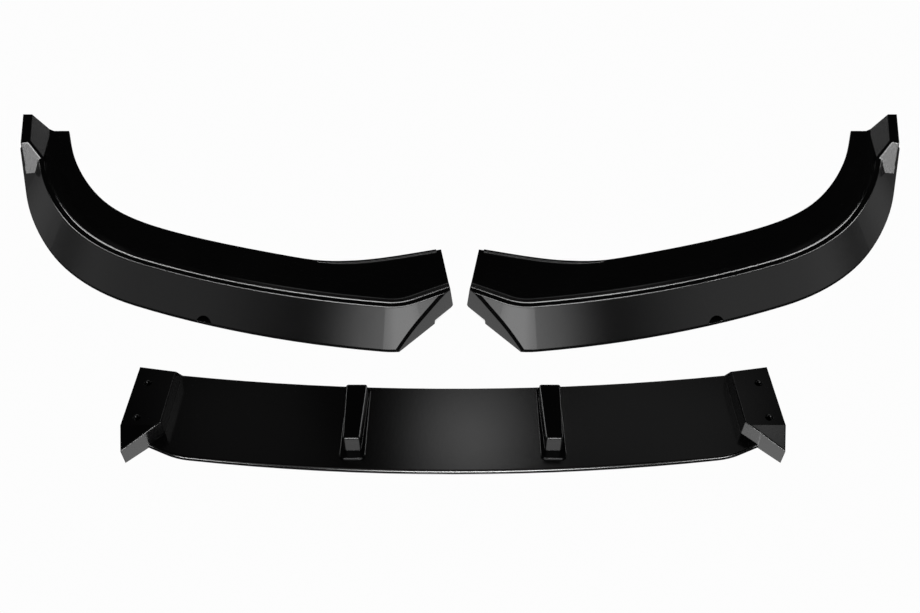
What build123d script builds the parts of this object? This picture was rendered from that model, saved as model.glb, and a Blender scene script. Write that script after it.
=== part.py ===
from build123d import *
from math import radians, tan
import os

# Front splitter lip for a car bumper, laid out as the kit comes: two mirrored corner lips behind,
# and in front of them the centre plate that joins them, with a screw ear at each end and two fins.
# Millimetres, X across the car, Y towards the rear, Z up. Every moulding rests on Z = 0.

# Mouldings
wall = 3.0
edge_round = 1.5

# Corner lip: section across the skirt, the ridge and the start of the shelf
ridge_height = 42.0
ridge_width = 6.0
flare = 29.7
toe = 3.5
toe_round = 2.0
shelf_height = 33.0
shelf_slope = 16.0
slope_round = 12.0

# Corner lip: plan line of the ridge, from the inner tip round to the rear
ridge_tip_x = -15.2
ridge_tip_y = -59.7
return_angle = 26.7
return_run = 38.0
bend_radius = 60.0
bend_turn = 33.0
front_radius = 1140.0
front_turn = 15.0
corner_radius = 288.0
corner_turn = 29.3
rear_radius = 450.0
rear_turn = 16.2
lip_rear_y = 275.0

# Corner lip: back edge of the shelf, by its depth behind the ridge, and the rim on its inner end
shelf_tip_inset = 7.5
shelf_tip_depth = 83.2
shelf_angle = 14.0
bend_depth = 94.5
turn_depth = 75.0
middle_depth = 72.9
front_depth = 71.2
corner_depth = 56.3
rear_depth = 44.2
shelf_end_lean = 9.4
shelf_end_draft = 7.0
shelf_corner_round = 6.0
rim_width = 3.2
rim_height = 1.6
rim_run = 150.0
rim_ramp = 40.0

# Corner lip: mitred end wall that meets the centre plate
mitre_angle = 48.4
mitre_draft = 6.0
step_height = 6.5
step_length = 16.0
step_round = 3.0

# Corner lip: winglet over the rear end, and the arched notch above the toe
winglet_height = 60.0
winglet_length = 70.0
winglet_ramp = 46.7
winglet_turn = 6.5
winglet_outer = 15.7
winglet_inner = 4.0
winglet_foot = 17.5
winglet_underside = 30.0
winglet_slope = 15.6
winglet_bevel = 2.4
notch_width = 19.0
notch_height = 6.0
notch_depth = 16.0
notch_distance = 208.0

# Centre plate
plate_shift = -7.0
plate_front_y = -275.0
plate_depth = 105.3
plate_thickness = 5.0
plate_skin = 3.0
plate_front_radius = 2150.0
plate_back_radius = 2350.0
plate_corner_inset = 16.5
plate_corner_round = 80.0
plate_front_round = 2.0

# Screw ears at the ends of the plate
ear_inner = 294.0
ear_width = 40.0
ear_height = 24.0
ear_front = 13.5
ear_back = 113.0
ear_back_skew = 6.5
ear_back_lean = 30.0
ear_nose_inset = 7.0
ear_crease = 42.5
ear_slope = 8.0
ear_round = 1.2
ear_hole_radius = 3.5
ear_hole_inset = 14.5
ear_hole_spacing = 45.3
ear_hole_front = 51.9
ear_hole_bevel = 0.6

# Fins on the plate
fin_spread = 201.0
fin_height = 22.0
fin_front = 23.5
fin_back = 93.5
fin_front_width = 17.0
fin_back_width = 22.0
fin_corner_round = 2.5
fin_top_bevel = 1.2
foot_width = 26.0
foot_front = 13.5
foot_back = 106.0
foot_thickness = 2.5
foot_round = 6.0
foot_bevel = 0.8

# Screws from below, two in each fin
screw_radius = 1.8
screw_length = 15.0
screw_head_radius = 3.75
screw_head_thickness = 1.7
screw_clearance = 0.1
screw_inset = 20.0
rib_width = 9.0
slot_length = 4.4
slot_width = 0.9
slot_depth = 0.8

# How far the plan lines and cutting blocks run past the edges that trim them
overrun = 40.0
tail_length = 160.0
drop = 3 * wall

UP = Vector(0, 0, 1)
ridge_tip = Vector(ridge_tip_x, ridge_tip_y)
shelf_tip = ridge_tip + Vector(-shelf_tip_inset, shelf_tip_depth)
shelf_heading = Vector(-1, 0).rotate(Axis.Z, shelf_angle)
slope_foot = -ridge_width - shelf_slope
shelf_lap = slope_foot - 2 * wall

ridge_arcs = (
    (bend_radius, bend_turn),
    (front_radius, front_turn),
    (corner_radius, corner_turn),
    (rear_radius, rear_turn),
)


def ridge_trace(out):
    """Plan line of the ridge's outer edge, moved `out` outward: a run, right-hand arcs, a straight tail."""
    travel = Vector(-1, 0).rotate(Axis.Z, return_angle)
    first = ridge_tip - travel * overrun + travel.rotate(Axis.Z, 90) * out
    chain = [Line(first, first + travel * (overrun + return_run))]
    for radius, turn in ridge_arcs:
        chain.append(JernArc(chain[-1] @ 1, chain[-1] % 1, radius + out, -turn))
    chain.append(Line(chain[-1] @ 1, chain[-1] @ 1 + (chain[-1] % 1) * tail_length))
    return chain


def station(edge, place):
    """Upright plane across a plan line: local X points outward, local Y up."""
    travel = edge % place
    return Plane(edge @ place, x_dir=travel.rotate(Axis.Z, 90), z_dir=travel)


def behind(edge, place, depth):
    """Point `depth` behind a plan line, square to it."""
    return edge @ place - (edge % place).rotate(Axis.Z, 90) * depth


def shelf_plan():
    """Outline of the shelf, past both of its ends, and in it the two edges along the back."""
    with BuildLine(Plane.XY) as outline:
        front = ridge_trace(slope_foot)
        lead = Line(shelf_tip - shelf_heading * overrun, shelf_tip)
        back = Spline(
            shelf_tip,
            behind(front_arc, 0, bend_depth),
            behind(front_arc, 0.25, turn_depth),
            behind(front_arc, 0.5, middle_depth),
            behind(front_arc, 1, front_depth),
            behind(rear_arc, 0, corner_depth),
            behind(tail, 0, rear_depth),
            behind(tail, 1, rear_depth),
            tangents=(shelf_heading, tail % 1),
        )
        Line(front[0] @ 0, lead @ 0)
        Line(front[-1] @ 1, back @ 1)
    return outline.edges(), [lead, back]


def lip_outline():
    """Outer form of the lip across the ridge, carried below the floor so that its hollow is open there."""
    Polygon(
        (shelf_lap, -drop),
        (flare, -drop),
        (flare, toe),
        (0, ridge_height),
        (-ridge_width, ridge_height),
        (slope_foot, shelf_height),
        (shelf_lap, shelf_height),
        align=None,
    )


def winglet_outline():
    """Section of the winglet: underside, outer wall, top, and the inner wall that runs out in the shelf."""
    wall_foot = winglet_inner - winglet_slope
    Polygon(
        (wall_foot - 2 * wall, winglet_underside - wall / 2),
        (winglet_foot, winglet_underside),
        (winglet_outer, winglet_height),
        (winglet_inner, winglet_height),
        (wall_foot, shelf_height + wall),
        (wall_foot - 2 * wall, shelf_height - wall / 4),
        align=None,
    )


with BuildLine() as ridge_line:
    ridge_edges = ridge_trace(0)
front_arc, rear_arc, tail = ridge_edges[2], ridge_edges[4], ridge_edges[5]
rear_reach = (lip_rear_y - (tail @ 0).Y) / (tail % 0).Y
section_plane = station(ridge_edges[0], 0)
wing_heading = (tail % 0).rotate(Axis.Z, -winglet_turn)
wing_front = tail @ ((rear_reach - winglet_length) / tail_length)
wing_plane = Plane(wing_front, x_dir=wing_heading.rotate(Axis.Z, 90), z_dir=wing_heading)
facet_normal = UP.rotate(Axis((0, 0, 0), wing_plane.x_dir), -winglet_ramp)
facet_plane = Plane(wing_front + UP * winglet_height, x_dir=wing_plane.x_dir, z_dir=facet_normal)

mitre_along = Vector(1, 0).rotate(Axis.Z, mitre_angle)
mitre_out = mitre_along.rotate(Axis.Z, -90)
mitre_normal = mitre_out.rotate(Axis((0, 0, 0), mitre_along), mitre_draft)
mitre_plane = Plane(ridge_tip + UP * ridge_height, x_dir=mitre_along, z_dir=mitre_normal)
mitre_foot = ridge_tip - mitre_out * ridge_height * tan(radians(mitre_draft))
shelf_end = Vector(0, 1).rotate(Axis.Z, shelf_end_lean)
shelf_end_normal = shelf_end.rotate(Axis.Z, -90).rotate(Axis((0, 0, 0), shelf_end), -shelf_end_draft)
shelf_end_plane = Plane(shelf_tip + UP * shelf_height, x_dir=shelf_end, z_dir=shelf_end_normal)

# Lower inner corner of the end wall: where the mitre meets the shelf's end at the height of the step
end_out = shelf_end.rotate(Axis.Z, -90)
step_line = ridge_tip - mitre_out * (ridge_height - step_height) * tan(radians(mitre_draft))
end_line = shelf_tip + end_out * (shelf_height - step_height) * tan(radians(shelf_end_draft))
step_reach = (end_line - step_line).dot(end_out) / mitre_along.dot(end_out)
step_end = step_line + mitre_along * step_reach + UP * step_height
rear_plane = Plane((0, lip_rear_y, 0), z_dir=(0, 1, 0))

# Solid form of the skirt and ridge up to the mitred end, before it is hollowed
with BuildPart() as lip_block:
    with BuildSketch(section_plane):
        lip_outline()
        fillet(vertices().group_by(Axis.Y)[-1], edge_round)
        fillet(vertices().sort_by_distance((slope_foot, shelf_height))[0], slope_round)
        fillet(vertices().sort_by_distance((flare, toe))[0], toe_round)
    sweep(path=ridge_line.wire())
    split(bisect_by=mitre_plane, keep=Keep.BOTTOM)

# Hollow under the skirt, the ridge and the shelf, open to the back under the shelf
with BuildPart() as lip_hollow:
    with BuildSketch(section_plane):
        lip_outline()
        offset(amount=-wall, kind=Kind.INTERSECTION, mode=Mode.REPLACE)
        with Locations((shelf_lap - wall, -drop)):
            Rectangle(3 * wall, drop + shelf_height - wall, align=(Align.MIN, Align.MIN))
    sweep(path=ridge_line.wire())

# Winglet: a hollow blade over the rear end, turned in, and cut off in front by a flat facet
wing_run = winglet_length + overrun
wing_lead = (winglet_height - winglet_underside) / tan(radians(winglet_ramp)) + wall
facet_middle = (winglet_inner - winglet_slope / 2, (winglet_height + ridge_height) / 2, 0)
with BuildPart() as winglet:
    with BuildSketch(wing_plane.offset(-wing_lead)):
        winglet_outline()
    extrude(amount=wing_lead + wing_run)
    split(bisect_by=facet_plane, keep=Keep.BOTTOM)
    facet = faces().filter_by(lambda face: abs(face.normal_at().dot(facet_normal)) > 0.999)[0]
    inner_wall_edge = facet.edges().sort_by_distance(wing_plane.from_local_coords(facet_middle))[0]
    chamfer(inner_wall_edge, winglet_bevel)

with BuildPart() as winglet_hollow:
    with BuildSketch(wing_plane):
        winglet_outline()
        offset(amount=-wall, kind=Kind.INTERSECTION, mode=Mode.REPLACE)
    extrude(amount=wing_run)

# End wall along the mitre, cut from the solid form
with BuildPart() as end_wall:
    add(lip_block.part)
    split(bisect_by=mitre_plane.offset(-wall), keep=Keep.TOP)

# Shelf that lies under the bumper
shelf_edges, back_edges = shelf_plan()
with BuildPart() as shelf:
    with BuildSketch(Plane.XY.offset(shelf_height - wall)):
        make_face(shelf_edges)
    extrude(amount=wall)
    split(bisect_by=shelf_end_plane, keep=Keep.BOTTOM)
    split(bisect_by=rear_plane, keep=Keep.BOTTOM)
    inner_corner = edges().filter_by(Axis.Z).sort_by_distance(shelf_tip + UP * shelf_height)[0]
    rear_corner = edges().filter_by(Axis.Z).group_by(Axis.Y)[-1].sort_by(Axis.X)[-1]
    fillet([inner_corner, rear_corner], shelf_corner_round)

# Block inside the skirt that closes the arched notch above the toe
notch_plane = station(front_arc, notch_distance / front_arc.length)
notch_foot = notch_plane.origin + notch_plane.x_dir * (flare - notch_depth) + UP * toe
pocket_plane = Plane(notch_foot, x_dir=-notch_plane.z_dir, z_dir=notch_plane.x_dir)
with BuildPart() as pocket:
    with BuildSketch(pocket_plane):
        with Locations((0, -toe)):
            Rectangle(notch_width + 2 * wall, toe + notch_height + wall, align=(Align.CENTER, Align.MIN))
    extrude(amount=notch_depth)
    add(lip_block.part, mode=Mode.INTERSECT)

# Raised rim along the inner end of the shelf's back edge, running out in a ramp
ramp_slope = Vector(rim_height, 0, rim_ramp).normalized()
ramp_foot = (shelf_tip.X - rim_run, 0, shelf_height)
ramp_plane = Plane(ramp_foot, x_dir=(0, 1, 0), z_dir=(-ramp_slope.X, 0, ramp_slope.Z))
with BuildPart() as shelf_rim:
    with BuildSketch(Plane.XY.offset(shelf_height - wall)):
        make_face(shelf_edges)
        trace(back_edges, line_width=2 * rim_width, mode=Mode.INTERSECT)
    extrude(amount=wall + rim_height)
    split(bisect_by=ramp_plane, keep=Keep.BOTTOM)
    split(bisect_by=shelf_end_plane.offset(-shelf_corner_round), keep=Keep.BOTTOM)

with BuildPart() as corner_lip_left:
    add(lip_block.part)
    add(winglet.part)
    add(lip_hollow.part, mode=Mode.SUBTRACT)
    add(winglet_hollow.part, mode=Mode.SUBTRACT)
    add(end_wall.part)
    add(pocket.part)
    add(shelf.part)
    add(shelf_rim.part)
    split(bisect_by=mitre_plane, keep=Keep.BOTTOM)
    split(bisect_by=shelf_end_plane, keep=Keep.BOTTOM)
    split(bisect_by=rear_plane, keep=Keep.BOTTOM)
    split(bisect_by=Plane.XY, keep=Keep.TOP)
    # Step in the end wall that clears the edge of the centre plate
    with BuildSketch(Plane(mitre_foot, x_dir=mitre_along, z_dir=UP)):
        with Locations((-step_length, 0)):
            Rectangle(step_length + overrun, 4 * wall, align=(Align.MIN, Align.CENTER))
    extrude(amount=step_height, mode=Mode.SUBTRACT)
    step_corner = edges().sort_by_distance(step_end + shelf_end * wall / 2)[0]
    fillet(step_corner, step_round)
    # Arched notch in the skirt, closed behind by the pocket
    with BuildSketch(pocket_plane.offset(wall)):
        with BuildLine():
            ThreePointArc((-notch_width / 2, 0), (0, notch_height), (notch_width / 2, 0))
            Line((-notch_width / 2, 0), (notch_width / 2, 0))
        make_face()
    extrude(amount=notch_depth, mode=Mode.SUBTRACT)

with BuildPart() as corner_lip_right:
    mirror(corner_lip_left.part, about=Plane.YZ)

# Centre plate: a shallow tray between two bowed edges, with a hollow ear at each end
plate_plane = Plane((plate_shift, plate_front_y, 0))
plate_middle = Plane.YZ.offset(plate_shift)
plate_corner_x = ear_inner - plate_corner_inset
corner_y = plate_front_radius - (plate_front_radius**2 - plate_corner_x**2) ** 0.5
ear_outer = ear_inner + ear_width
ear_nose_x = ear_outer - ear_nose_inset
ear_hole_x = ear_outer - ear_hole_inset
facet_x = ear_nose_x - ear_inner
back_corner = plate_plane.from_local_coords((ear_inner, ear_back, ear_height))
back_along = Vector(ear_outer - ear_inner, ear_back_skew).normalized()
back_normal = back_along.rotate(Axis.Z, 90).rotate(Axis((0, 0, 0), back_along), ear_back_lean)
ear_back_plane = Plane(back_corner, x_dir=back_along, z_dir=back_normal)
lap_x = ear_inner + wall / 2
lap_front = (ear_inner + facet_x / 2, ear_front + facet_x / 2 + wall)
lap_inner = (lap_x, ear_front + facet_x + wall / 2)
lap_back = (lap_x, plate_depth + plate_back_radius - (plate_back_radius**2 - lap_x**2) ** 0.5)


def plate_outline():
    """Plan of the plate, bowed at the front and at the back, and lapped into the walls of the ears."""
    with BuildLine(Plane.XY) as outline:
        RadiusArc((0, 0), (plate_corner_x, corner_y), -plate_front_radius)
        Polyline((plate_corner_x, corner_y), lap_front, lap_inner, lap_back)
        RadiusArc((0, plate_depth), lap_back, -plate_back_radius)
        mirror(about=Plane.YZ)
    make_face(outline.edges())
    fillet(vertices().group_by(Axis.Y)[0], plate_corner_round)


with BuildPart() as ear:
    with BuildSketch(plate_plane):
        Polygon(
            (ear_inner, ear_back + ear_height),
            (ear_inner, ear_front + facet_x),
            (ear_nose_x, ear_front),
            (ear_outer, ear_crease),
            (ear_outer, ear_back + ear_back_skew + ear_height),
            align=None,
        )
    extrude(amount=ear_height)
    split(bisect_by=ear_back_plane, keep=Keep.BOTTOM)
    crease = plate_plane.from_local_coords((0, ear_crease, ear_height))
    nose_top = Plane(crease, x_dir=(1, 0, 0), z_dir=UP.rotate(Axis.X, ear_slope))
    with BuildSketch(nose_top):
        with Locations((ear_inner - overrun, 0)):
            Rectangle(3 * overrun, 2 * ear_crease, align=(Align.MIN, Align.MAX))
    extrude(amount=ear_height, mode=Mode.SUBTRACT)
    offset(amount=-wall, openings=faces().sort_by(Axis.Z)[0])
    top_faces = faces().filter_by(lambda face: face.normal_at().Z > 0.9)
    fillet(top_faces.edges(), ear_round)
    with Locations(plate_plane.offset(ear_height)):
        with Locations((ear_hole_x, ear_hole_front), (ear_hole_x, ear_hole_front + ear_hole_spacing)):
            CounterSinkHole(ear_hole_radius, ear_hole_radius + ear_hole_bevel, 2 * wall, 90)

# Where the screws stand: two under each fin
fin_plane = Plane((plate_shift + fin_spread / 2, plate_front_y, plate_thickness))
screw_spots = ((0, fin_front + screw_inset), (0, fin_back - screw_inset))
skin_plane = fin_plane.offset(-plate_skin)
bore_radius = screw_radius + screw_clearance

with BuildPart() as screw_bores:
    with BuildSketch(skin_plane):
        with Locations(*screw_spots):
            Circle(bore_radius)
    extrude(amount=screw_length + wall)
    mirror(about=plate_middle)

with BuildPart() as centre_plate:
    with BuildSketch(plate_plane):
        plate_outline()
    extrude(amount=plate_thickness)
    fillet(edges().group_by(Axis.Z)[-1].sort_by(Axis.Y)[:3], plate_front_round)
    with BuildSketch(plate_plane):
        plate_outline()
        offset(amount=-wall, kind=Kind.INTERSECTION, mode=Mode.REPLACE)
    extrude(amount=plate_thickness - plate_skin, mode=Mode.SUBTRACT)
    add(ear.part)
    mirror(ear.part, about=plate_middle)
    add(screw_bores.part, mode=Mode.SUBTRACT)


def fin_plan():
    """Plan of a fin, wider towards the back."""
    Polygon(
        (-fin_front_width / 2, fin_front),
        (fin_front_width / 2, fin_front),
        (fin_back_width / 2, fin_back),
        (-fin_back_width / 2, fin_back),
        align=None,
    )


# Fin: a hollow blade on a foot pad, with two ribs across it that take the screws
with BuildPart() as fin_right:
    with BuildSketch(fin_plane):
        with Locations((0, (foot_front + foot_back) / 2)):
            RectangleRounded(foot_width, foot_back - foot_front, foot_round)
    extrude(amount=foot_thickness)
    chamfer(edges().group_by(Axis.Z)[-1], foot_bevel)
    with BuildSketch(fin_plane):
        fin_plan()
        fillet(vertices(), fin_corner_round)
    extrude(amount=fin_height)
    chamfer(edges().group_by(Axis.Z)[-1], fin_top_bevel)
    with BuildSketch(fin_plane):
        fin_plan()
        offset(amount=-wall, kind=Kind.INTERSECTION, mode=Mode.REPLACE)
        with Locations(*screw_spots):
            Rectangle(foot_width, rib_width, mode=Mode.SUBTRACT)
    extrude(amount=fin_height - wall, mode=Mode.SUBTRACT)
    add(screw_bores.part, mode=Mode.SUBTRACT)

with BuildPart() as fin_left:
    mirror(fin_right.part, about=plate_middle)

# Pan head screws that hold the fins from inside the tray
with BuildPart() as fin_screws:
    with BuildSketch(skin_plane):
        with Locations(*screw_spots):
            Circle(screw_head_radius)
    extrude(amount=-screw_head_thickness)
    with BuildSketch(skin_plane):
        with Locations(*screw_spots):
            Circle(screw_radius)
    extrude(amount=screw_length)
    with BuildSketch(skin_plane.offset(-screw_head_thickness)):
        with Locations(*screw_spots):
            Rectangle(slot_length, slot_width)
            Rectangle(slot_width, slot_length)
    extrude(amount=slot_depth, mode=Mode.SUBTRACT)
    mirror(about=plate_middle)

os.makedirs("parts", exist_ok=True)
corner_lip_left.part.label = "corner_lip_left"
corner_lip_right.part.label = "corner_lip_right"
centre_plate.part.label = "centre_plate"
fin_left.part.label = "fin_left"
fin_right.part.label = "fin_right"
fin_screws.part.label = "fin_screws"
export_step(corner_lip_left.part, "parts/corner_lip_left.step")
export_step(corner_lip_right.part, "parts/corner_lip_right.step")
export_step(centre_plate.part, "parts/centre_plate.step")
export_step(fin_left.part, "parts/fin_left.step")
export_step(fin_right.part, "parts/fin_right.step")
export_step(fin_screws.part, "parts/fin_screws.step")
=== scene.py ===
# %% [markdown]
# # Front splitter lip in gloss black plastic
# Every shape comes from the solid model. This lesson gives it a finish, a table to lie on, light and a
# camera.

# %% Load the solid model
import math
import bpy
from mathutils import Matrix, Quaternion, Vector

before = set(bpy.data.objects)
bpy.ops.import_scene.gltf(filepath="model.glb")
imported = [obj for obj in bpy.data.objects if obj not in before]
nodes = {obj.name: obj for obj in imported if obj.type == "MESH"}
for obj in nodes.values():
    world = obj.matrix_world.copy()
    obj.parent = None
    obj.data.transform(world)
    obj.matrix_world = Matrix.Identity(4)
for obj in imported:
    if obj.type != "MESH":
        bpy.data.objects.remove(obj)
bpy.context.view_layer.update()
print("nodes:", sorted(nodes))

# %% [markdown]
# ## The camera
# A camera can be aimed by a constraint or by its own angles. Its angles are simpler here, because it looks
# straight along the car.

# %% Aim the camera
FRAME_PIXELS = (920, 613)
FOCAL_PIXELS = 880
EYE = Vector((0, -0.7725, 0.732))
LOOK_DOWN = math.radians(45)

bpy.ops.object.select_all(action="DESELECT")
bpy.ops.object.camera_add(location=EYE, rotation=(math.pi / 2 - LOOK_DOWN, 0, 0))
camera = bpy.context.object
camera.name = "camera"
camera.data.sensor_width = 36
camera.data.lens = FOCAL_PIXELS / FRAME_PIXELS[0] * camera.data.sensor_width
bpy.context.scene.camera = camera
bpy.context.scene.view_settings.view_transform = "Standard"
print("lens", round(camera.data.lens, 2), "mm")

# %% [markdown]
# ## Writing shader maths as Python
# A finish is a graph of nodes. Wiring each Math node by hand hides the idea, so a small class wraps a
# socket and lets plus, minus and times add the nodes. One method adds every other kind of node.

# %% A socket that can be used in sums
class Term:
    """A value that varies over a surface: sums with it add Math nodes to its tree."""

    def __init__(self, tree, socket):
        self.tree = tree
        self.socket = socket

    def sibling(self, output):
        """Another output of the same node."""
        return Term(self.tree, self.socket.node.outputs[output])

    def math(self, operation, first, second):
        return Graph(self.tree).node("ShaderNodeMath", {"operation": operation}, {0: first, 1: second})

    def __add__(self, other):
        return self.math("ADD", self, other)

    def __radd__(self, other):
        return self.math("ADD", other, self)

    def __sub__(self, other):
        return self.math("SUBTRACT", self, other)

    def __rsub__(self, other):
        return self.math("SUBTRACT", other, self)

    def __mul__(self, other):
        return self.math("MULTIPLY", self, other)

    def __rmul__(self, other):
        return self.math("MULTIPLY", other, self)


class Graph:
    """Adds nodes to a tree, and gives back the output that is asked for as a Term."""

    def __init__(self, tree):
        self.tree = tree

    def node(self, kind, settings=None, inputs=None, output=0):
        made = self.tree.nodes.new(kind)
        for name, value in (settings or {}).items():
            setattr(made, name, value)
        for name, value in (inputs or {}).items():
            if isinstance(value, Term):
                self.tree.links.new(value.socket, made.inputs[name])
            else:
                made.inputs[name].default_value = value
        return Term(self.tree, made.outputs[output]) if made.outputs else made

    def axes(self, vector):
        """A vector's X, with Y and Z as its siblings."""
        return self.node("ShaderNodeSeparateXYZ", None, {0: vector})

    def mix(self, kind, factor, first, second):
        """`first` where `factor` is 0, `second` where it is 1. `kind` is FLOAT, VECTOR or RGBA."""
        ends = {"Factor": factor, "A": first, "B": second}
        return self.node("ShaderNodeMix", {"data_type": kind}, ends, "Result")

    def ramp(self, value, low, high):
        """0 below `low`, 1 above `high`, smooth between. `low` may be the larger of the two."""
        span = {"interpolation_type": "SMOOTHSTEP"}
        if low < high:
            return self.node("ShaderNodeMapRange", span, {"Value": value, "From Min": low, "From Max": high})
        rising = self.node("ShaderNodeMapRange", span, {"Value": value, "From Min": high, "From Max": low})
        return 1 - rising


def new_material(name):
    """An empty material and the graph to fill it with."""
    material = bpy.data.materials.new(name)
    material.use_nodes = True
    material.node_tree.nodes.clear()
    return material, Graph(material.node_tree)


def finish_surface(graph, shader):
    """Sends a shader to the material's surface."""
    graph.node("ShaderNodeOutputMaterial", None, {"Surface": shader})


# %% [markdown]
# ## Black moulded plastic
# The mouldings are black all through and come out of a polished tool: a dark, smooth surface with a soft
# gloss. Such a surface still has a faint waviness, called orange peel, and its gloss drifts a little from
# place to place. A flat grey-black would look like paint in a drawing, so noise moves the roughness, and a
# finer noise feeds a bump.

# %% The plastic finish
PLASTIC_DARK = (0.006, 0.006, 0.0063, 1)
PLASTIC_LIGHT = (0.012, 0.012, 0.0125, 1)
PLASTIC_IOR = 1.5
PEEL_PER_METRE = 260
PEEL_STRENGTH = 0.04
PEEL_DEPTH = 0.0004
DRIFT_PER_METRE = 11
GLOSS_DRIFT = 0.05


def black_plastic(name, roughness, edges):
    """Gloss black plastic. `edges(graph, place)` gives the normal that its rounded edges have."""
    material, graph = new_material(name)
    place = graph.node("ShaderNodeTexCoord", output="Object")
    drift = graph.node("ShaderNodeTexNoise", None, {"Vector": place, "Scale": DRIFT_PER_METRE, "Detail": 3})
    peel = graph.node("ShaderNodeTexNoise", None, {"Vector": place, "Scale": PEEL_PER_METRE, "Detail": 2})
    normal = edges(graph, place)
    waviness = {"Strength": PEEL_STRENGTH, "Distance": PEEL_DEPTH, "Height": peel, "Normal": normal}
    looks = {
        "Base Color": graph.mix("RGBA", drift, PLASTIC_DARK, PLASTIC_LIGHT),
        "Roughness": roughness + GLOSS_DRIFT * (drift - 0.5),
        "IOR": PLASTIC_IOR,
        "Normal": graph.node("ShaderNodeBump", None, waviness),
    }
    finish_surface(graph, graph.node("ShaderNodeBsdfPrincipled", None, looks))
    return material


# %% [markdown]
# ## Rounded edges
# A moulding has no knife edges, and on black gloss a rounded edge is what draws a bright or a dark line.
# The solid model leaves the smallest rounds out. A Bevel modifier would change its mesh, which stays as it
# is, so a Bevel node rounds the shading. On a corner lip the ridge is rounder than the rim behind it, so
# two Bevel nodes are mixed by height. Where the skirt meets the end wall, the edge is cut off flat. That
# flat is as wide as the skirt's last three millimetres in front of the wall's plane, and there the flat's
# own normal takes the place of the skirt's.

# %% The edges of each moulding
BEVEL_SAMPLES = 16
FINE_ROUND = 0.0006
FIN_ROUND = 0.0012
RIDGE_ROUND = 0.0024
RIM_TOP = 0.037
ROUND_BLEND = 0.0015
SKIRT_LEAN_FROM = (0.4, 0.5)
SKIRT_LEAN_TO = (0.72, 0.66)
END_WALL = (0.7437, -0.6603, -0.1045)
END_WALL_PLACE = 0.02372
FLAT_WIDTH = 0.003
FLAT_BLEND = 0.0005
FLAT_FACING = (0.585, -0.761, 0.281)


def rounded(graph, radius):
    """The normal of a surface whose edges are rounded to a radius."""
    return graph.node("ShaderNodeBevel", {"samples": BEVEL_SAMPLES}, {"Radius": radius})


def plate_edges(graph, place):
    return rounded(graph, FINE_ROUND)


def fin_edges(graph, place):
    return rounded(graph, FIN_ROUND)


def lip_rounds(graph, place, lean, inward):
    """The edges of a lip. `lean` is the height of its faces' normal.

    `inward` is the sign of x on the side that faces the middle of the car.
    """
    across = graph.axes(place)
    height = across.sibling("Z")
    upper = graph.ramp(height, RIM_TOP, RIM_TOP + ROUND_BLEND)
    normal = graph.mix("VECTOR", upper, rounded(graph, FINE_ROUND), rounded(graph, RIDGE_ROUND))
    skirt = graph.ramp(lean, *SKIRT_LEAN_FROM) * graph.ramp(lean, *SKIRT_LEAN_TO)
    reach = inward * END_WALL[0] * across + END_WALL[1] * across.sibling("Y") + END_WALL[2] * height
    start = END_WALL_PLACE - FLAT_WIDTH
    flat = skirt * graph.ramp(reach, start - FLAT_BLEND, start)
    return graph.mix("VECTOR", flat, normal, (inward * FLAT_FACING[0], *FLAT_FACING[1:]))


# %% [markdown]
# A fine bead runs along the brow of each lip's inner slope, and shows as a second bright line behind the
# ridge. It is less than two millimetres high. A swept solid would do it too, but so small a form is cheaper
# as a bump. The face's own normal tells the slope from the other faces.

# %% The bead behind the ridge
RIDGE_HEIGHT = 0.042
BEAD_FOOT = 0.0404
BEAD_DEPTH = 0.005
FACES_BACK = (0.05, 0.15)
SLOPE_LEAN_FROM = (0.7, 0.78)
SLOPE_LEAN_TO = (0.99, 0.95)


def lip_edges(inward):
    """The edges and the bead of a lip."""

    def edges(graph, place):
        face = graph.axes(graph.node("ShaderNodeNewGeometry", output="True Normal"))
        lean = face.sibling("Z")
        back = graph.ramp(inward * face + face.sibling("Y"), *FACES_BACK)
        slope = back * graph.ramp(lean, *SLOPE_LEAN_FROM) * graph.ramp(lean, *SLOPE_LEAN_TO)
        span = {"Value": graph.axes(place).sibling("Z"), "From Min": BEAD_FOOT, "From Max": RIDGE_HEIGHT}
        brow = graph.node("ShaderNodeMapRange", None, span)
        rounds = lip_rounds(graph, place, lean, inward)
        bead = {"Distance": 1.0, "Height": -BEAD_DEPTH * brow * slope, "Normal": rounds}
        return graph.node("ShaderNodeBump", None, bead)

    return edges


# %% [markdown]
# The lips and the fins are a little glossier than the plate, so the plate has its own roughness.

# %% The plastic of each moulding
GLOSSY = 0.15
LESS_GLOSSY = 0.17
finishes = {
    "corner_lip_left": black_plastic("lip_plastic_left", GLOSSY, lip_edges(1)),
    "corner_lip_right": black_plastic("lip_plastic_right", GLOSSY, lip_edges(-1)),
    "centre_plate": black_plastic("plate_plastic", LESS_GLOSSY, plate_edges),
    "fin_left": black_plastic("fin_plastic_left", GLOSSY, fin_edges),
    "fin_right": black_plastic("fin_plastic_right", GLOSSY, fin_edges),
}
print("plastic on", sorted(finishes))

# %% [markdown]
# ## Zinc-plated screws
# The screws that hold the fins sit in the tray under the plate, so only a view from below shows them. Zinc
# plate is a dull bright metal, with a fine grain in its gloss.

# %% The zinc finish
ZINC = (0.55, 0.56, 0.58, 1)
ZINC_ROUGHNESS = 0.28
GRAIN_PER_METRE = 900
GRAIN_ROUGHNESS = 0.15


def zinc_plate(name):
    """Dull bright metal with a fine drift in its gloss."""
    material, graph = new_material(name)
    place = graph.node("ShaderNodeTexCoord", output="Object")
    grain = graph.node("ShaderNodeTexNoise", None, {"Vector": place, "Scale": GRAIN_PER_METRE, "Detail": 2})
    looks = {"Base Color": ZINC, "Metallic": 1, "Roughness": ZINC_ROUGHNESS + GRAIN_ROUGHNESS * grain}
    finish_surface(graph, graph.node("ShaderNodeBsdfPrincipled", None, looks))
    return material


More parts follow.
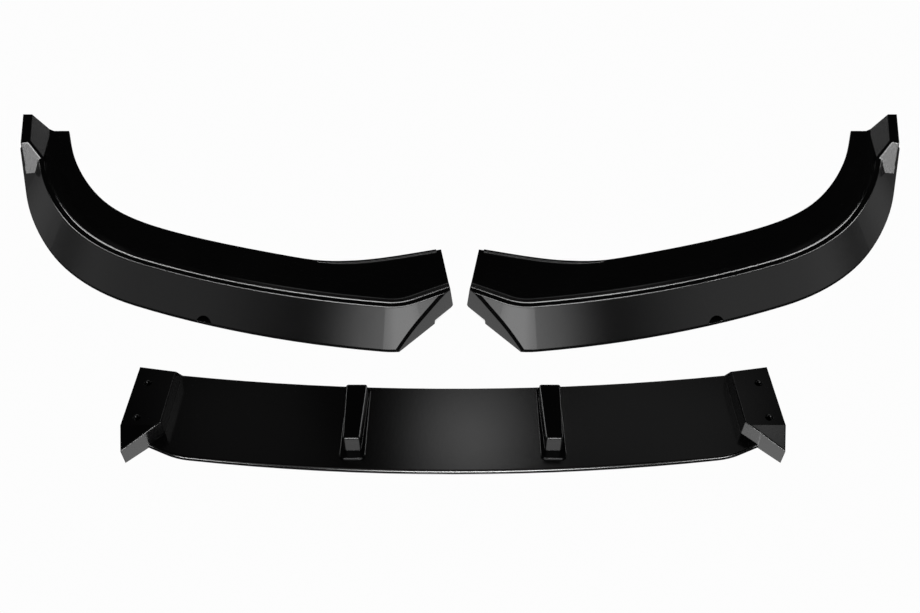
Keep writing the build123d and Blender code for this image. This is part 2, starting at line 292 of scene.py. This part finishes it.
finishes["fin_screws"] = zinc_plate("screw_zinc")
for name, material in finishes.items():
    nodes[name].data.materials.clear()
    nodes[name].data.materials.append(material)
print("finishes on", len(finishes), "nodes")

# %% [markdown]
# ## The table
# The photograph's background is plain white with no shadow, as a light table looks from above. Black gloss
# shows whatever stands round it, so the table is left out of the reflections, and the room and the lamps
# make them.
# Where the parts lie close over the table, its glow is dimmed to black. That is a painted shadow, and it
# shows through holes and gaps in them.

# %% Lay the white table
TABLE_SIZE = 6.0
TABLE_GLOW = 0.98
PAINTED_SHADE_SAMPLES = 24
PAINTED_SHADE_REACH = 0.15
PAINTED_SHADE_FULL = 0.14
PAINTED_SHADE_CLEAR = 0.27

bpy.ops.object.select_all(action="DESELECT")
bpy.ops.mesh.primitive_plane_add(size=TABLE_SIZE, location=(0, 0, 0))
table = bpy.context.object
table.name = "table"
white, graph = new_material("white_table")
reach = {"Distance": PAINTED_SHADE_REACH}
open_sky = graph.node("ShaderNodeAmbientOcclusion", {"samples": PAINTED_SHADE_SAMPLES}, reach, "AO")
# Painted shadow: the glow fades to black where ambient occlusion finds the parts close over the table.
glow = TABLE_GLOW * graph.ramp(open_sky, PAINTED_SHADE_FULL, PAINTED_SHADE_CLEAR)
finish_surface(graph, graph.node("ShaderNodeEmission", None, {"Color": (1, 1, 1, 1), "Strength": glow}))
table.data.materials.append(white)
table.visible_glossy = False
print("table", TABLE_SIZE, "m")

# %% [markdown]
# ## The room
# A black gloss surface is a dark mirror, so the room round it matters more than the light that falls on it.
# It is a dark studio, and the world is that dark for reflections. What the camera sees past the table is
# white, and a dim even light reaches the plastic itself.

# %% Paint the room
ROOM_DARK = 0.006
ROOM_DIM = 0.1

world = bpy.data.worlds.new("room")
bpy.context.scene.world = world
world.use_nodes = True
world.cycles.sampling_method = "NONE"
world.node_tree.nodes.clear()
graph = Graph(world.node_tree)
ray = graph.node("ShaderNodeLightPath", output="Is Camera Ray")
seen = graph.mix("FLOAT", ray, ROOM_DIM, TABLE_GLOW)
strength = graph.mix("FLOAT", ray.sibling("Is Glossy Ray"), seen, ROOM_DARK)
background = graph.node("ShaderNodeBackground", None, {"Color": (1, 1, 1, 1), "Strength": strength})
graph.node("ShaderNodeOutputWorld", None, {"Surface": background})
print("room painted")

# %% [markdown]
# ## Lamps
# Soft lamps draw the shapes, as flat white panels round a black car do. Each is placed by the direction in
# which a face mirrors it: degrees round from the camera's side, positive to the right, and degrees up. Each
# shines on the pieces that it is for, and only the pieces it is told of shade it, so a panel may hang lower
# than the table.

# %% A softbox placed by its direction
def group_of(name, members):
    """A collection of CAD nodes for a lamp to be linked to."""
    group = bpy.data.collections.new(name)
    for member in members:
        group.objects.link(nodes[member])
    return group


def softbox(name, spot, way, distance, size, brightness, lit, fade=(0.3, 0.3), tilt=0, shade=None):
    """A panel of width and height `size` that lights the nodes `lit`.

    It hangs `distance` from `spot`, in the direction `way` in degrees round and up, and `tilt` turns it in
    its own plane. Its light fades out towards its sides over the share `fade` of its width and height. The
    nodes `shade` stand in its way, or else the nodes that it lights.
    """
    turn, rise = (math.radians(angle) for angle in way)
    out = Vector((math.sin(turn) * math.cos(rise), -math.cos(turn) * math.cos(rise), math.sin(rise)))
    bpy.ops.object.select_all(action="DESELECT")
    bpy.ops.object.light_add(type="AREA", location=Vector(spot) + out * distance)
    lamp = bpy.context.object
    lamp.name = name
    lamp.rotation_euler = (out.to_track_quat("Z", "Y") @ Quaternion((0, 0, 1), math.radians(tilt))).to_euler()
    lamp.data.shape = "RECTANGLE"
    lamp.data.size, lamp.data.size_y = size
    lamp.data.energy = brightness * math.pi * size[0] * size[1]
    lamp.data.use_nodes = True
    lamp.data.node_tree.nodes.clear()
    graph = Graph(lamp.data.node_tree)
    across = graph.axes(graph.node("ShaderNodeNewGeometry", output="Parametric"))
    along = across.sibling("Y")
    wide = graph.ramp(across, 0, fade[0]) * graph.ramp(across, 1, 1 - fade[0])
    high = graph.ramp(along, 0, fade[1]) * graph.ramp(along, 1, 1 - fade[1])
    light = graph.node("ShaderNodeEmission", None, {"Strength": wide * high})
    graph.node("ShaderNodeOutputLight", None, {"Surface": light})
    lamp.visible_camera = False
    lamp.visible_diffuse = False
    lamp.light_linking.receiver_collection = group_of("lit_by_" + name, lit)
    lamp.light_linking.blocker_collection = group_of("shade_" + name, shade or lit)
    print(name, "at", [round(v, 2) for v in lamp.location])


# %% [markdown]
# Two lamps over the front light the corner lips' facets, and draw bright lines where a front face rounds
# over into a top.

# %% Lamps for both corner lips
lips = ["corner_lip_left", "corner_lip_right"]
softbox("facet_panel", (0, 0.05, 0.05), (0, 52), 1.6, (2.8, 0.6), 5.4, lips)
softbox("edge_panel", (0, 0.05, 0.05), (0, 72), 1.6, (2.8, 0.7), 12.0, lips)
softbox("slope_panel", (0, 0.1, 0.03), (180, -8), 1.3, (3.4, 0.5), 0.04, lips, (0.1, 0.3))

# %% [markdown]
# A corner lip's skirt shows a long dim panel beside it, and a second one further round shows where it
# sweeps back. A thin bright panel over them lines the ridge. The end that turns in shows a bright panel in
# front, and the end wall a low one from the other side.

# %% Lamps for each corner lip
for side, lip, dim in ((-1, "corner_lip_left", 0.4), (1, "corner_lip_right", 0.56)):
    rear, outer, inner = (side * 0.58, 0.15, 0.03), (side * 0.4, -0.02, 0.03), (side * 0.05, -0.09, 0.02)
    softbox(lip + "_side", outer, (side * 62, 17), 1.2, (2.3, 0.6), dim, [lip], (0.35, 0.3), -side * 18)
    softbox(lip + "_tail", rear, (side * 110, -3), 1.2, (1.4, 0.6), 0.25, [lip], (0.5, 0.3), -side * 26)
    softbox(lip + "_ridge", outer, (side * 85, 53), 1.2, (2.7, 0.32), 13.0, [lip], (0.1, 0.3), -side * 52)
    softbox(lip + "_wing", rear, (-side * 166, 2), 1.2, (0.5, 0.5), 0.25, [lip])
    softbox(lip + "_end", inner, (-side * 16, 28), 0.9, (1.85, 0.6), 5.0, [lip], (0.4, 0.35))
    softbox(lip + "_wall", inner, (-side * 105, -53), 0.6, (0.6, 0.6), 0.55, [lip])

# %% [markdown]
# The plate shows a small lamp behind it as a glow in its middle, with a dim panel on each side, and the
# fins stand in their way. Three panels in front draw the line along its front edge. The ears face down to
# the front, so their lamps hang low. Where the plate would shade a low lamp, only the screws may shade it,
# which comes to no shade at all. A real lamp could not do that.

# %% Lamps for the plate
plate = ["centre_plate"]
fins = ["fin_left", "fin_right"]
out_of_sight = ["fin_screws"]
standing = plate + fins
soft, small = (0.5, 0.5), (0.25, 0.25)
softbox("plate_glow", (0.01, -0.22, 0.005), (178.5, 54), 1.3, (0.45, 0.5), 1.9, plate, soft, shade=standing)
softbox("plate_left", (-0.22, -0.22, 0.005), (-158, 51), 1.3, (0.5, 0.5), 0.08, plate, shade=standing)
softbox("plate_right", (0.2, -0.22, 0.005), (160, 51), 1.3, (0.7, 0.5), 0.21, plate, shade=standing)
front_panels = (("left", -1.05, 0.95, 32), ("middle", 0.07, 1.12, 64), ("right", 1.05, 0.95, 32))
for name, x, width, brightness in front_panels:
    softbox("front_" + name, (x, -0.27, 0.004), (0, -8), 1.2, (width, 0.6), brightness, plate, (0.42, 0.3))
ear_left = (-0.311, -0.254, 0.012)
softbox("ear_left", ear_left, (60, -49.5), 0.45, (0.2, 0.2), 2.0, plate, small)
ear_right = (0.311, -0.254, 0.012)
softbox("ear_right", ear_right, (-60, -49.5), 0.45, (0.2, 0.2), 2.0, plate, small, shade=out_of_sight)
softbox("nose_right", (0.31, -0.24, 0.024), (137, 62), 1.3, (0.3, 0.3), 1.6, plate, soft)

# %% [markdown]
# A fin's front shows a low lamp, and its edges show a panel in front and one behind on each side.

# %% Lamps for the fins
softbox("fin_fronts", (0, -0.25, 0.015), (0, -53), 0.6, (0.9, 0.5), 0.8, fins, shade=out_of_sight)
softbox("fin_brows", (0, -0.25, 0.025), (0, 36), 1.2, (1.3, 0.3), 8.0, fins, (0.25, 0.3))
softbox("fin_edges_left", (0, -0.22, 0.02), (-126, 6), 1.2, (0.7, 0.35), 3.0, fins)
softbox("fin_edges_right", (0, -0.22, 0.02), (126, 6), 1.2, (0.7, 0.35), 3.0, fins)

# %% [markdown]
# The lamps above are placed for the front view. From the other sides, dim panels in front, overhead, on
# both sides and low at the back show the shapes, because a black gloss part with nothing to mirror is only
# an outline.

# %% Lamps for the other sides
every = sorted(nodes)
softbox("fill_front", (0, -0.1, 0.03), (0, 38), 1.6, (2.6, 1.0), 1.2, standing)
softbox("fill_left", (0, -0.45, 0.03), (-90, 50), 1.6, (1.4, 0.9), 0.8, lips)
softbox("fill_right", (0, -0.45, 0.03), (90, 50), 1.6, (1.4, 0.9), 0.8, lips)
softbox("plate_over", (0, -0.2, 0.03), (0, 88), 1.6, (1.4, 0.5), 1.0, standing, soft)
softbox("plate_side_left", (0, -0.2, 0.03), (-105, 20), 1.6, (1.7, 0.55), 0.4, standing, (0.4, 0.4))
softbox("plate_side_right", (0, -0.2, 0.03), (105, 20), 1.6, (1.7, 0.55), 0.4, standing, (0.4, 0.4))
softbox("fill_back", (0, 0, 0.03), (180, -28), 1.5, (3.0, 0.55), 0.5, every)
